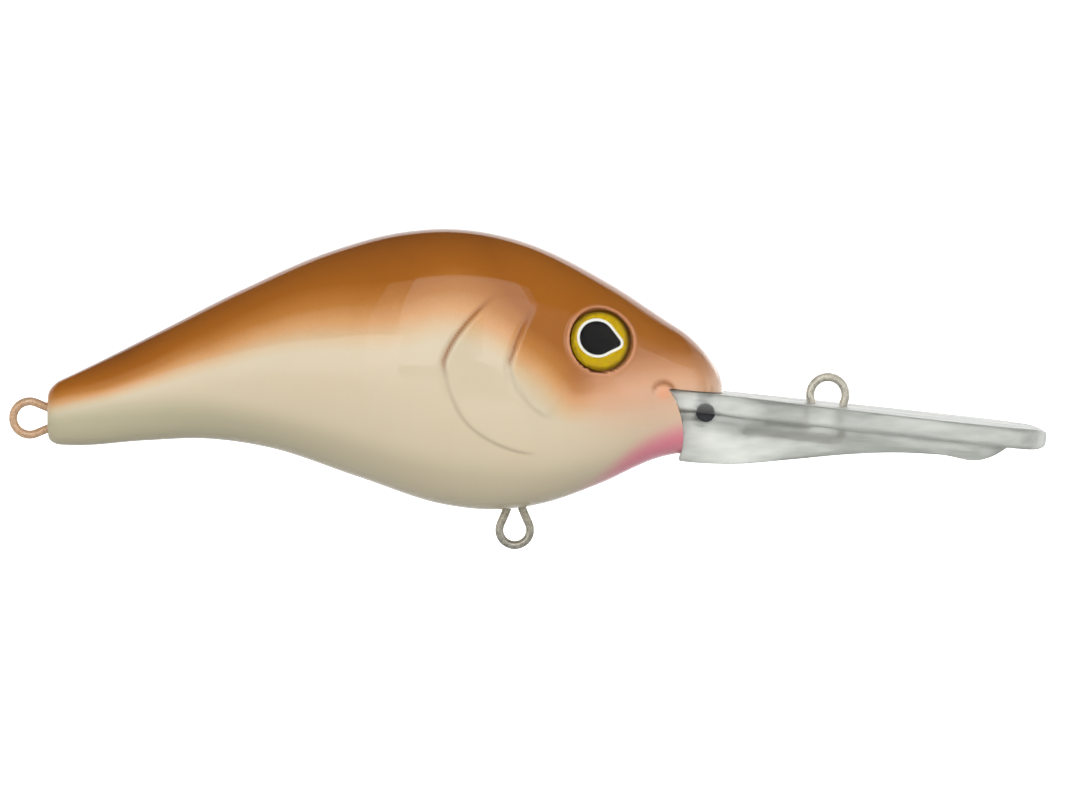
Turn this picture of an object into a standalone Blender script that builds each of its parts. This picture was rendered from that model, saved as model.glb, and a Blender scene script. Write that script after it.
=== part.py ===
"""A deep-diving crankbait: a hollow two-shell body, a clear diving bill and three wire eyes.

Every design number is in millimetres, in the lure's own design frame: X runs forwards from the
tail face, Y to the lure's left, and Z up from the level of the tail eye. The whole lure hangs under
one empty, which moves the centre of the line tie to the world's origin.
"""

import math

import bmesh
import bpy
import numpy as np
from mathutils import Vector

MM = 0.001

# ------------------------------------------------------------- driving dimensions, in millimetres

BODY_LENGTH = 76.5  # from the tail face to the tip of the nose
WALL = 1.6  # shell wall
RIB_BITE = 0.8  # how far below the outer surface the ribs end, inside the wall
SPLIT_GAP = 0.1  # between the two shells
FIT_GAP = 0.1  # round an insert in its pocket

# The outline in the middle plane, as (x, z).
BACK = [(0, 3.7), (3, 5.1), (12, 9.6), (22, 14.7), (32, 19.05), (40, 21.2), (46, 21.6), (54, 20.15),
        (64.5, 15.0), (71, 10.7), (BODY_LENGTH, 7.3)]
BELLY = [(0, -3.0), (3, -3.15), (11, -2.6), (18, -2.4), (25, -3.4), (35, -6.7), (45, -9.9),
         (50.5, -10.45), (56, -9.75), (62.5, -7.5), (69, -4.6), (BODY_LENGTH, -3.4)]
# Half the width, as (x, y), and how boxy the section is: 2 is an ellipse.
HALF_WIDTH = [(0, 3.0), (4, 3.5), (12, 4.9), (22, 7.1), (32, 9.2), (42, 10.7), (50, 11.0),
              (58, 10.6), (66, 9.1), (72, 7.4), (BODY_LENGTH, 6.6)]
BOXINESS = [(0, 2.2), (40, 2.2), (60, 2.7), (BODY_LENGTH, 2.7)]
WIDEST_LEVEL = 0.46  # how far up its height a section is widest
TAIL_ROUND, TAIL_FLAT = 1.4, 0.72  # the tail's rounding, and its flat face's share of the section
NOSE_ROUND, NOSE_POWER, NOSE_LEVEL = 5.2, 2.4, 2.8  # the nose's rounding: length, fullness, level
BODY_STATIONS, BODY_RING = 34, 28

CAVITY_TAIL, CAVITY_NOSE, CAVITY_ROUND = 11.5, 61.5, 3.0  # where the hollow begins and ends
CAVITY_STATIONS, CAVITY_RING = 22, 20

# The bill's flat top plane: its root under the nose, and how far it slopes down forwards.
BILL_ROOT, BILL_DROP = Vector((70.8, 0, 3.5)), math.radians(6.3)
BILL_LENGTH = 42.7
BILL_HALF_WIDTH = [(-2, 6.6), (3, 6.7), (8, 7.4), (14, 8.8), (21, 10.1), (28, 10.7),
                   (BILL_LENGTH, 10.6)]
BILL_END_ROUND, BILL_END_POWER = 8.5, 2.5
BILL_THICKNESS, BILL_EDGE = 2.3, 0.6
BILL_TIP_THIN, BILL_TIP_LENGTH = 0.4, 2.2  # share of the thickness left at the very tip
KEEL_DEPTH = [(-2, 7.9), (3, 8.1), (8, 7.7), (14, 6.6), (20.5, 5.3), (26, 4.5), (31, 4.2),
              (35.8, 4.2), (37.2, 3.5), (38.6, 2.4), (BILL_LENGTH, 2.3)]
KEEL_HALF_WIDTH = [(-2, 5.8), (2, 5.4), (7, 4.2), (13, 2.9), (20, 2.4), (34, 2.4), (BILL_LENGTH, 2.2)]
KEEL_FILLET = 1.8
BILL_STATIONS = 26

JAW_RADIUS, JAW_FRONT, JAW_LEVEL = 10.0, 71.9, -1.9  # the jaw's front face bulges forwards
JAW_TOP, JAW_BOTTOM = 3.9, -7.0

# The tongue that the shells hold the bill by: a plate with a notch in each side. From the root.
TONGUE_BACK, TONGUE_FRONT, TONGUE_HALF_WIDTH = -7.6, 2.5, 5.2
TONGUE_TOP, TONGUE_THICKNESS = -0.9, 2.6
NOTCH_FROM, NOTCH_TO, NOTCH_HALF_WIDTH = -5.2, -2.4, 3.4

WIRE_RADIUS, WIRE_SIDES = 0.475, 8
LINE_TIE, LINE_TIE_RADIUS, LINE_TIE_LEAN = Vector((88.4, 0, 2.65)), 2.0, math.radians(-3)
LINE_TIE_WAIST = 1.8  # half the distance between the legs where they enter the bill
LINE_TIE_DEPTHS = (2.1, 3.7)  # of the rear and the front leg's foot, below the bill's top
LINE_TIE_FEET = (7.5, 9.5)  # how far back each foot runs behind the loop's centre
FOOT_BEND = 1.0

HANGER_NECK = 0.68  # half the distance between a hanger's legs where they pass through the wall
BELLY_EYE, BELLY_EYE_RADIUS, BELLY_ANCHOR = Vector((52.9, 0, -12.7)), 1.8, 6.6
TAIL_EYE, TAIL_EYE_RADIUS, TAIL_ANCHOR = Vector((-2.1, 0, 0)), 1.95, 7.7
ANCHOR_RADIUS, ANCHOR_OPEN = 1.65, math.radians(18)  # the inner loop, and its ends' half gap

EYE_AT, EYE_FACING = Vector((62.7, 0, 9.2)), Vector((0.24, -0.95, 0.18)).normalized()
EYE_RADIUS, SOCKET_RADIUS, SOCKET_DEPTH, EYE_GAP = 3.5, 3.62, 1.3, 0.05
EYE_FOIL, EYE_EDGE, EYE_CROWN = 0.35, 0.75, 1.15  # foil thickness, then the dome's edge and middle
EYE_SEGMENTS = 28

BILL_WEIGHT_RADIUS, BILL_WEIGHT_LENGTH = 1.1, 11.4
BILL_WEIGHT_AT, BILL_WEIGHT_DEPTH = 3.9, 2.2  # along the bill, and below its top

# Ballast rods: centre, radius, length and slope, and how far up their end plates reach.
BALLAST_SEAT, BALLAST_GAP, BALLAST_PLATE = 0.8, 0.15, 1.8
BALLAST = {
    "ballast_rear": (Vector((44.0, 0, -3.7)), 3.3, 10.0, math.radians(15), 2.0),
    "ballast_front": (Vector((60.0, 0, -3.7)), 2.4, 7.0, math.radians(-20), 1.2),
}
HANGER_BLOCK = ((49.4, -2.1, -14.0), (55.9, 2.1, -3.2))

CASTING_RADIUS, CASTING_CLEARANCE, RAIL = 2.75, 0.3, 0.9
CASTING_FRONT, CASTING_BACK = Vector((34.0, 0, 1.2)), Vector((15.4, 0, 3.9))

RATTLE_RADIUS, RATTLE_CLEARANCE, RATTLE_SEAT, RATTLE_TRAVEL = 2.0, 0.3, 0.06, 3.5
RATTLE_LEVEL, CELL_WALL = 9.0, 0.6
RATTLE_AT = {"rattle_ball_rear": 43.0, "rattle_ball_middle": 48.2, "rattle_ball_front": 53.4}

# Locating pins of the right shell, in holes of the left, as (x, z); the second has its own post.
PINS = [(9.6, 3.3), (27.5, 12.4), (67.5, 10.0), (67.6, -2.7)]
PIN_RADIUS, PIN_LENGTH, PIN_GAP, POST_RADIUS = 0.8, 1.5, 0.15, 1.7

FAR = 40.0  # how far a cutter reaches past what it cuts


# ---------------------------------------------------------------------------------------- helpers

def smooth(points):
    """A smooth curve through the points, as a function of x."""
    x, y = (np.array(column, float) for column in zip(*points))
    widths = np.diff(x)
    steps = np.diff(y) / widths
    inner = (steps[:-1] * widths[1:] + steps[1:] * widths[:-1]) / (widths[:-1] + widths[1:])
    slopes = np.concatenate([[steps[0]], inner, [steps[-1]]])

    def value(at):
        at = min(max(at, x[0]), x[-1])
        i = min(int(np.searchsorted(x, at, side="right")) - 1, len(x) - 2)
        t = (at - x[i]) / widths[i]
        rise = y[i] * (1 + 2 * t) * (1 - t) ** 2 + y[i + 1] * t * t * (3 - 2 * t)
        bend = slopes[i] * t * (1 - t) ** 2 + slopes[i + 1] * t * t * (t - 1)
        return float(rise + widths[i] * bend)

    return value


def eased(count, start, end):
    """count numbers from start to end, closer together towards both."""
    turns = (math.pi * i / (count - 1) for i in range(count))
    return [start + (end - start) * (1 - math.cos(turn)) / 2 for turn in turns]


def smoothstep(t):
    t = min(max(t, 0.0), 1.0)
    return t * t * (3 - 2 * t)


def power(base, exponent):
    """The base's size raised to the exponent, with the base's sign."""
    return math.copysign(abs(base) ** exponent, base)


def material(name, colour, roughness, metallic=0.0, transmission=0.0):
    made = bpy.data.materials.new(name)
    made.use_nodes = True
    shader = made.node_tree.nodes["Principled BSDF"]
    shader.inputs["Base Color"].default_value = (*colour, 1)
    shader.inputs["Roughness"].default_value = roughness
    shader.inputs["Metallic"].default_value = metallic
    shader.inputs["Transmission Weight"].default_value = transmission
    return made


def empty(name, parent=None, at=Vector(), pitch=0.0):
    made = bpy.data.objects.new(name, None)
    bpy.context.scene.collection.objects.link(made)
    made.parent = parent
    made.location = at * MM
    made.rotation_euler = (0, pitch, 0)
    return made


def solid(name, shape, parent, paint=None, at=Vector(), facing=None):
    """An object from a closed shape, turned so that its +Z faces a direction.

    Without a paint it is a hidden helper.
    """
    points, faces = shape
    mesh = bpy.data.meshes.new(name)
    mesh.from_pydata([Vector(p) * MM for p in points], [], faces)
    triangles = bmesh.new()
    triangles.from_mesh(mesh)
    bmesh.ops.triangulate(triangles, faces=triangles.faces)
    triangles.to_mesh(mesh)
    triangles.free()
    mesh.shade_smooth()
    mesh.set_sharp_from_angle(angle=math.radians(38))
    made = bpy.data.objects.new(name, mesh)
    bpy.context.scene.collection.objects.link(made)
    made.parent = parent
    made.location = at * MM
    if facing is not None:
        made.rotation_euler = facing.to_track_quat("Z", "Y").to_euler()
    if paint is None:
        made.hide_render = True
        made.display_type = "WIRE"
    else:
        mesh.materials.append(paint)
    return made


def combine(target, operation, other, self_overlap=False):
    """Joins, cuts or trims the target with another solid. One of them may overlap itself."""
    modifier = target.modifiers.new(f"{operation.lower()}_{other.name}", "BOOLEAN")
    modifier.operation = operation
    modifier.solver = "EXACT"
    modifier.use_self = self_overlap
    modifier.object = other


def loft(rings):
    """The closed shape through rings of equal size, which turn anticlockwise seen from its end."""
    size = len(rings[0])
    points = [p for ring in rings for p in ring]
    faces = [tuple(reversed(range(size))), tuple(range(len(points) - size, len(points)))]
    for start in range(0, len(points) - size, size):
        for i in range(size):
            a, b = start + i, start + (i + 1) % size
            faces.append((a, b, b + size, a + size))
    return points, faces


def prism(outline, low, high, axis="Y"):
    """An outline of (x, z) pairs drawn out along Y, or one of (x, y) pairs drawn out along Z."""
    def lift(pair, level):
        return (pair[0], level, pair[1]) if axis == "Y" else (pair[0], pair[1], level)

    following = outline[1:] + outline[:1]
    area = sum(a[0] * b[1] - b[0] * a[1] for a, b in zip(outline, following))
    if (area > 0) == (axis == "Y"):
        outline = outline[::-1]
    return loft([[lift(pair, level) for pair in outline] for level in (low, high)])


def box(low, high):
    corners = [(low[0], low[2]), (high[0], low[2]), (high[0], high[2]), (low[0], high[2])]
    return prism(corners, low[1], high[1])


def turned(profile, segments):
    """A profile of (radius, height) pairs turned about Z. It starts and ends on the axis."""
    turns = [2 * math.pi * i / segments for i in range(segments)]
    rings = [[(r * math.cos(a), r * math.sin(a), h) for a in turns] for r, h in profile[1:-1]]
    points, faces = loft(rings)
    bottom, top, last = len(points), len(points) + 1, len(points) - segments
    points += [(0, 0, profile[0][1]), (0, 0, profile[-1][1])]
    sides = [(i, (i + 1) % segments) for i in range(segments)]
    ends = [(b, a, bottom) for a, b in sides] + [(last + a, last + b, top) for a, b in sides]
    return points, faces[2:] + ends


def rod(radius, length, segments, edge=0.0):
    """A cylinder about Z, centred on the origin, with its rims bevelled by an edge."""
    half = length / 2
    profile = [(0, -half), (radius - edge, -half), (radius, edge - half)]
    if not edge:
        profile = profile[:2]
    return turned(profile + [(r, -h) for r, h in reversed(profile)], segments)


def ball(radius, segments=16, rows=10):
    turns = [math.pi * i / rows for i in range(rows + 1)]
    return turned([(radius * math.sin(t), -radius * math.cos(t)) for t in turns], segments)


def cross_rod(radius, half_length, at, segments=16):
    """A cylinder along Y through a point (x, z)."""
    turns = (2 * math.pi * i / segments for i in range(segments))
    circle = [(at[0] + radius * math.cos(t), at[1] + radius * math.sin(t)) for t in turns]
    return prism(circle, -half_length, half_length)


def merge(shapes):
    """Several shapes as one."""
    points, faces = [], []
    for more_points, more_faces in shapes:
        faces += [tuple(i + len(points) for i in face) for face in more_faces]
        points += more_points
    return points, faces


def sweep(path, radius):
    """A round wire along a path of (x, z) pairs in the middle plane."""
    along = [Vector((x, 0, z)) for x, z in path]
    sideways = Vector((0, 1, 0))
    rings = []
    for i, at in enumerate(along):
        ahead = (along[min(i + 1, len(along) - 1)] - along[min(i, len(along) - 2)]).normalized()
        behind = (at - along[i - 1]).normalized() if i else ahead
        middle = (ahead + behind).normalized()
        across = middle.cross(sideways) / max(middle.dot(behind), 0.5)
        turns = (2 * math.pi * (k + 0.5) / WIRE_SIDES for k in range(WIRE_SIDES))
        rings.append([at + radius * (math.cos(t) * across - math.sin(t) * sideways) for t in turns])
    return loft(rings)


# --------------------------------------------------------------------------------- the body's form

back, belly, half_width, boxiness = map(smooth, (BACK, BELLY, HALF_WIDTH, BOXINESS))


def closing(x):
    """How much of the full section is left at x, where the tail and the nose round off."""
    if x < TAIL_ROUND:
        inward = 1 - x / TAIL_ROUND
        return TAIL_FLAT + (1 - TAIL_FLAT) * math.sqrt(1 - inward * inward)
    outward = max(0.0, (x - (BODY_LENGTH - NOSE_ROUND)) / NOSE_ROUND)
    return max(1 - outward**NOSE_POWER, 0.0) ** (1 / NOSE_POWER)


def section(x, count, inset=0.0, share=1.0):
    """The body's section at x as a ring, set in from the surface, and scaled about its middle."""
    top, bottom = back(x), belly(x)
    middle = (top + bottom) / 2 if x < BODY_LENGTH / 2 else NOSE_LEVEL
    scale = closing(x)
    top, bottom = middle + (top - middle) * scale - inset, middle + (bottom - middle) * scale + inset
    side = half_width(x) * scale - inset
    level = bottom + WIDEST_LEVEL * (top - bottom)
    shape = 2 / boxiness(x)
    ring = []
    for i in range(count):
        angle = 2 * math.pi * i / count
        reach = (top - level) if math.cos(angle) > 0 else (level - bottom)
        y, z = side * power(math.sin(angle), shape), reach * power(math.cos(angle), shape)
        ring.append((x, -y * share, level + z * share))
    return ring


def body_form(inset=0.0):
    stations = eased(BODY_STATIONS, inset, BODY_LENGTH - 0.02 - inset)
    return loft([section(x, BODY_RING, inset) for x in stations])


def surface_y(x, z):
    """Half the body's width at x and z."""
    top, bottom = back(x), belly(x)
    level = bottom + WIDEST_LEVEL * (top - bottom)
    reach = (top - level) if z > level else (level - bottom)
    return half_width(x) * (1 - abs((z - level) / reach) ** boxiness(x)) ** (1 / boxiness(x))


def cavity_form():
    rings = []
    for x in eased(CAVITY_STATIONS, CAVITY_TAIL, CAVITY_NOSE):
        from_end = min(1.0, min(x - CAVITY_TAIL, CAVITY_NOSE - x) / CAVITY_ROUND)
        share = 0.55 + 0.45 * math.sqrt(1 - (1 - from_end) ** 2)
        rings.append(section(x, CAVITY_RING, WALL, share))
    return loft(rings)


def strip(at, direction, along, across):
    """A full-width plate: from and to along a direction from a point, and from and to across it."""
    normal = Vector((-direction.z, 0, direction.x))
    normal = normal if normal.z > 0 else -normal
    corners = [(along[0], across[0]), (along[1], across[0]), (along[1], across[1]), (along[0], across[1])]
    points = [at + direction * a + normal * b for a, b in corners]
    return [(p.x, p.z) for p in points]


def casting_raceway():
    """The casting ball's channel: two full-width rails, two side walls and two end plates."""
    direction = (CASTING_BACK - CASTING_FRONT).normalized()
    length = (CASTING_BACK - CASTING_FRONT).length
    inner = CASTING_RADIUS + CASTING_CLEARANCE
    outer, wall, bite = inner + RAIL, inner + RAIL * 0.8, inner + RAIL * 0.5

    def plate(along, across, sides):
        return prism(strip(CASTING_FRONT, direction, along, across), *sides)

    return [
        plate((-outer, length + outer), (inner, outer), (-FAR, FAR)),
        plate((-outer, length + outer), (-outer, -inner), (-FAR, FAR)),
        plate((-wall, length + wall), (-bite, bite), (inner, outer)),
        plate((-wall, length + wall), (-bite, bite), (-outer, -inner)),
        plate((-bite, -inner), (-bite * 1.05, bite * 1.05), (-bite, bite)),
        plate((length + inner, length + bite), (-bite * 1.05, bite * 1.05), (-bite, bite)),
    ]


def rattle_cells():
    """A row of closed cells: full-width dividers, with a floor, a ceiling and two side walls."""
    inner = RATTLE_RADIUS + RATTLE_CLEARANCE
    outer, bite = inner + CELL_WALL, inner + CELL_WALL * 0.5
    floor = RATTLE_LEVEL - RATTLE_RADIUS - RATTLE_SEAT
    ceiling = RATTLE_LEVEL + RATTLE_TRAVEL + inner
    rear, front = min(RATTLE_AT.values()) - bite, max(RATTLE_AT.values()) + bite
    low, high = floor - CELL_WALL, ceiling + CELL_WALL
    dividers = [x - outer for x in RATTLE_AT.values()] + [max(RATTLE_AT.values()) + inner]
    shapes = [box((x, -FAR, low - 0.2), (x + CELL_WALL, FAR, high + 0.2)) for x in dividers]
    for bottom, top in ((low, floor), (ceiling, high)):
        shapes.append(box((rear, -bite, bottom), (front, bite, top)))
    for left, right in ((-outer, -inner), (inner, outer)):
        shapes.append(box((rear + 0.1, left, low + 0.1), (front - 0.1, right, high - 0.1)))
    return shapes


def ballast_plates():
    """A plate at each end of each ballast rod. The front rod's front end sits in the solid nose."""
    shapes = []
    for centre, _, length, slope, reach in BALLAST.values():
        direction = Vector((math.cos(slope), 0, -math.sin(slope)))
        near = length / 2 - BALLAST_SEAT
        for along in ((-near - BALLAST_PLATE, -near), (near, near + BALLAST_PLATE)):
            shapes.append(prism(strip(centre, direction, along, (-FAR, reach)), -FAR, FAR))
    return shapes


# ------------------------------------------------------------------------------ the bill's outlines

bill_half_width, keel_depth, keel_half_width = map(smooth, (BILL_HALF_WIDTH, KEEL_DEPTH, KEEL_HALF_WIDTH))


def along_bill(u, v):
    """(x, z) of the point u along the bill's top from its root, and v above it."""
    c, s = math.cos(BILL_DROP), math.sin(BILL_DROP)
    return (BILL_ROOT.x + u * c + v * s, BILL_ROOT.z - u * s + v * c)


def jaw_face(shift=0.0, top=JAW_TOP):
    """The jaw's curved front face in the middle plane, from the top down."""
    levels = (top + (JAW_BOTTOM - top) * i / 8 for i in range(9))
    centre = JAW_FRONT - JAW_RADIUS + shift
    return [(centre + math.sqrt(JAW_RADIUS**2 - (z - JAW_LEVEL) ** 2), z) for z in levels]


def mouth_outline():
    """What the bill takes from the body: all that is in front of the jaw and under the nose."""
    root = along_bill(0, FIT_GAP)
    return [along_bill(BILL_LENGTH, FIT_GAP), root, *jaw_face(top=root[1]),
            (BILL_ROOT.x + BILL_LENGTH, JAW_BOTTOM)]


def behind_jaw_outline():
    face = jaw_face(FIT_GAP)
    return [*face, (face[0][0] - FAR, JAW_BOTTOM), (face[0][0] - FAR, JAW_TOP)]


def tongue(gap=0.0):
    """The tongue in the bill's own frame, grown by a gap."""
    wide, narrow = TONGUE_HALF_WIDTH + gap, NOTCH_HALF_WIDTH + gap
    notch = (NOTCH_FROM + gap, NOTCH_TO - gap)
    side = [(TONGUE_BACK - gap, wide), (notch[0], wide), (notch[0], narrow), (notch[1], narrow),
            (notch[1], wide), (TONGUE_FRONT + 3 * gap, wide)]
    outline = side + [(u, -y) for u, y in reversed(side)]
    return prism(outline, TONGUE_TOP - TONGUE_THICKNESS - gap, TONGUE_TOP + gap, "Z")


def bill_section(u):
    """The bill's section at u as a ring: its flat top, its edges, and the keel under its blade."""
    outward = max(0.0, (u - (BILL_LENGTH - BILL_END_ROUND)) / BILL_END_ROUND)
    wide = bill_half_width(u) * max(1 - outward**BILL_END_POWER, 0.0) ** (1 / BILL_END_POWER)
    from_tip = min((BILL_LENGTH - u) / BILL_TIP_LENGTH, 1.0)
    blade = BILL_THICKNESS * (BILL_TIP_THIN + (1 - BILL_TIP_THIN) * math.sqrt(1 - (1 - from_tip) ** 2))
    keel = max(keel_depth(u) - BILL_THICKNESS, 0.0)
    edge = BILL_EDGE * blade / BILL_THICKNESS
    inside = wide - edge
    foot = min(keel_half_width(u), 0.55 * inside)
    fillet = min(KEEL_FILLET, 0.35 * inside)

    def under(y):
        return -blade - keel * smoothstep((foot + fillet - y) / fillet)

    side = [(inside * 0.5, 0), (inside, 0), (wide, -edge), (wide, edge - blade)]
    outline = (inside, foot + fillet, foot + fillet * 0.6, foot + fillet * 0.3, foot, foot * 0.5)
    side += [(y, under(y)) for y in outline]
    ring = [(u, 0, 0)] + [(u, -y, z) for y, z in side]
    return ring + [(u, 0, under(0))] + [(u, y, z) for y, z in reversed(side)]


# -------------------------------------------------------------------------------- the wires' paths

def arc(centre, radius, start, end, steps):
    turns = (start + (end - start) * i / steps for i in range(steps + 1))
    return [(centre[0] + radius * math.cos(t), centre[1] + radius * math.sin(t)) for t in turns]


def turned_path(path, angle, at):
    """The path turned by an angle about its own origin, and moved to a point."""
    c, s = math.cos(angle), math.sin(angle)
    return [(at.x + x * c - z * s, at.z + x * s + z * c) for x, z in path]


def touching(reach, offset, radius):
    """The angle at which a line from (-reach, offset) touches the circle about the origin."""
    return math.pi - math.atan2(offset, reach) - math.acos(radius / math.hypot(reach, offset))


def hanger_path(radius, anchor, extra=0.0):
    """A hanger about its eye's centre, with +X out of the lure: inner loop, neck, eye and back."""
    necks = (0.42 * anchor, 0.58 * anchor)
    inner = math.pi - touching(anchor - necks[1], HANGER_NECK, ANCHOR_RADIUS)
    outer = touching(necks[0], HANGER_NECK, radius)
    half = arc((-anchor, 0), ANCHOR_RADIUS, math.pi - ANCHOR_OPEN + extra, inner, 8)
    half += [(-necks[1], HANGER_NECK), (-necks[0], HANGER_NECK)]
    return half + arc((0, 0), radius, outer, -outer, 15) + [(x, -z) for x, z in reversed(half)]


def line_tie_path(extra=0.0):
    """The line tie: a loop on two legs, whose feet turn back inside the bill."""
    entry = (LINE_TIE.x - BILL_ROOT.x) / math.cos(BILL_DROP)
    feet = []
    for side, depth, run in zip((-1, 1), LINE_TIE_DEPTHS, LINE_TIE_FEET):
        u = entry + side * LINE_TIE_WAIST
        feet.append([along_bill(entry - run - extra, -depth), along_bill(u - FOOT_BEND, -depth),
                     along_bill(u - FOOT_BEND * 0.3, -depth + FOOT_BEND * 0.3),
                     along_bill(u, -depth + FOOT_BEND)])
    loop = arc((0, 0), LINE_TIE_RADIUS, math.radians(205), math.radians(-25), 14)
    return feet[0] + turned_path(loop, LINE_TIE_LEAN, LINE_TIE) + feet[1][::-1]


# ---------------------------------------------------------------------------------------- the parts

def make_wires(lure, paint):
    """The line tie and the two hangers. Returns a slightly thicker cutter for each, by name."""
    paths = {
        "line_tie_wire": line_tie_path,
        "belly_hook_hanger": lambda extra=0.0: turned_path(
            hanger_path(BELLY_EYE_RADIUS, BELLY_ANCHOR, extra), -math.pi / 2, BELLY_EYE),
        "tail_hook_hanger": lambda extra=0.0: turned_path(
            hanger_path(TAIL_EYE_RADIUS, TAIL_ANCHOR, extra), math.pi, TAIL_EYE),
    }
    cutters = {}
    for name, path in paths.items():
        solid(name, sweep(path(), WIRE_RADIUS), lure, paint)
        cutters[name] = solid(f"{name}_groove", sweep(path(0.12), WIRE_RADIUS + FIT_GAP), lure)
    return cutters


def make_eyes(lure, foil_paint, dome_paint):
    """A foil disc and a clear dome in a socket on each side. Returns the sockets' cutters."""
    middle = surface_y(EYE_AT.x, EYE_AT.z)
    cutters = []
    for side, name in ((1, "right"), (-1, "left")):
        at = Vector((EYE_AT.x, -side * middle, EYE_AT.z))
        facing = Vector((EYE_FACING.x, side * EYE_FACING.y, EYE_FACING.z))
        floor = at - facing * SOCKET_DEPTH
        depth = 6.0
        socket = rod(SOCKET_RADIUS, depth, EYE_SEGMENTS)
        cutters.append(solid(f"eye_socket_{name}", socket, lure, None, floor + facing * depth / 2, facing))
        foil = rod(EYE_RADIUS, EYE_FOIL, EYE_SEGMENTS)
        foil_at = floor + facing * (EYE_GAP + EYE_FOIL / 2)
        solid(f"eye_foil_{name}", foil, lure, foil_paint, foil_at, facing)
        sag = EYE_CROWN - EYE_EDGE
        rings = [(1.0, 0.0), (1.0, EYE_EDGE), (0.9, EYE_EDGE + 0.27 * sag), (0.7, EYE_EDGE + 0.58 * sag),
                 (0.4, EYE_EDGE + 0.87 * sag)]
        profile = [(0, 0.0)] + [(EYE_RADIUS * r, h) for r, h in rings] + [(0, EYE_CROWN)]
        dome_at = floor + facing * (2 * EYE_GAP + EYE_FOIL)
        solid(f"eye_dome_{name}", turned(profile, EYE_SEGMENTS), lure, dome_paint, dome_at, facing)
    return cutters


def make_bill(lure, paint, weight_paint, wire_groove):
    frame = empty("bill_frame", lure, BILL_ROOT, BILL_DROP)
    bill = solid("diving_bill", loft([bill_section(u) for u in eased(
        BILL_STATIONS, -2.0, BILL_LENGTH - 0.01)]), frame, paint)
    combine(bill, "DIFFERENCE", solid("behind_jaw", prism(behind_jaw_outline(), -FAR, FAR), lure))
    combine(bill, "UNION", solid("bill_tongue", tongue(), frame))
    at = (BILL_WEIGHT_AT, -BILL_WEIGHT_DEPTH)
    hole = cross_rod(BILL_WEIGHT_RADIUS + FIT_GAP, FAR, at)
    combine(bill, "DIFFERENCE", solid("bill_weight_hole", hole, frame))
    combine(bill, "DIFFERENCE", wire_groove)
    solid("bill_weight", cross_rod(BILL_WEIGHT_RADIUS, BILL_WEIGHT_LENGTH / 2, at), frame, weight_paint)
    return solid("tongue_pocket", tongue(FIT_GAP), frame)


def make_ballast(lure, paint):
    cutters = []
    for name, (centre, radius, length, slope, _) in BALLAST.items():
        facing = Vector((math.cos(slope), 0, -math.sin(slope)))
        solid(name, rod(radius, length, 24, 0.4), lure, paint, centre, facing)
        pocket = rod(radius + BALLAST_GAP, length + 2 * BALLAST_GAP, 24)
        cutters.append(solid(f"{name}_pocket", pocket, lure, None, centre, facing))
    return cutters


def make_balls(lure, paint):
    solid("casting_ball", ball(CASTING_RADIUS, 18, 12), lure, paint, CASTING_FRONT)
    for name, x in RATTLE_AT.items():
        solid(name, ball(RATTLE_RADIUS), lure, paint, Vector((x, 0, RATTLE_LEVEL)))


def make_shells(lure, paint, cutters):
    """The two half shells: one moulded form, hollowed, ribbed and pocketed, then split in two."""
    form = solid("moulding", body_form(), lure)
    combine(form, "DIFFERENCE", solid("cavity", cavity_form(), lure))
    ribs = solid("ribs", merge([*casting_raceway(), *rattle_cells(), *ballast_plates(), box(*HANGER_BLOCK),
                                cross_rod(POST_RADIUS, FAR, PINS[1])]), lure)
    combine(ribs, "INTERSECT", solid("rib_limit", body_form(RIB_BITE), lure), self_overlap=True)
    combine(form, "UNION", ribs)
    combine(form, "DIFFERENCE", solid("mouth", prism(mouth_outline(), -FAR, FAR), lure))
    for cutter in cutters:
        combine(form, "DIFFERENCE", cutter)
    edge, reach = SPLIT_GAP / 2, FAR + BODY_LENGTH
    right = solid("body_shell_right", box((-FAR, -FAR, -FAR), (reach, -edge, FAR)), lure, paint)
    left = solid("body_shell_left", box((-FAR, edge, -FAR), (reach, FAR, FAR)), lure, paint)
    pins = merge([cross_rod(PIN_RADIUS, PIN_LENGTH, at, 12) for at in PINS])
    holes = merge([cross_rod(PIN_RADIUS + PIN_GAP, PIN_LENGTH + PIN_GAP, at, 12) for at in PINS])
    combine(right, "UNION", solid("locating_pins", pins, lure))
    combine(left, "DIFFERENCE", solid("locating_holes", holes, lure))
    for shell in (right, left):
        combine(shell, "INTERSECT", form)


def main():
    for obj in list(bpy.data.objects):
        bpy.data.objects.remove(obj)
    lure = empty("lure", at=-LINE_TIE)
    steel = material("steel_wire", (0.42, 0.40, 0.37), 0.28, metallic=1.0)
    tungsten = material("dark_weight", (0.045, 0.045, 0.05), 0.4, metallic=0.8)
    chrome = material("ball_steel", (0.62, 0.62, 0.64), 0.12, metallic=1.0)
    clear = material("clear_polycarbonate", (0.86, 0.88, 0.85), 0.05, transmission=1.0)
    foil = material("eye_foil", (0.50, 0.31, 0.03), 0.3)
    dome = material("eye_dome", (0.95, 0.95, 0.92), 0.03, transmission=1.0)
    shell = material("painted_shell", (0.62, 0.50, 0.34), 0.16)
    grooves = make_wires(lure, steel)
    tongue_pocket = make_bill(lure, clear, tungsten, grooves.pop("line_tie_wire"))
    cutters = [tongue_pocket, *grooves.values(), *make_eyes(lure, foil, dome), *make_ballast(lure, tungsten)]
    make_balls(lure, chrome)
    make_shells(lure, shell, cutters)


main()
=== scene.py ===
"""Looks for the crankbait lure: fine painted shells, a clear bill, printed eyes and bent wires."""

import math

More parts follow.
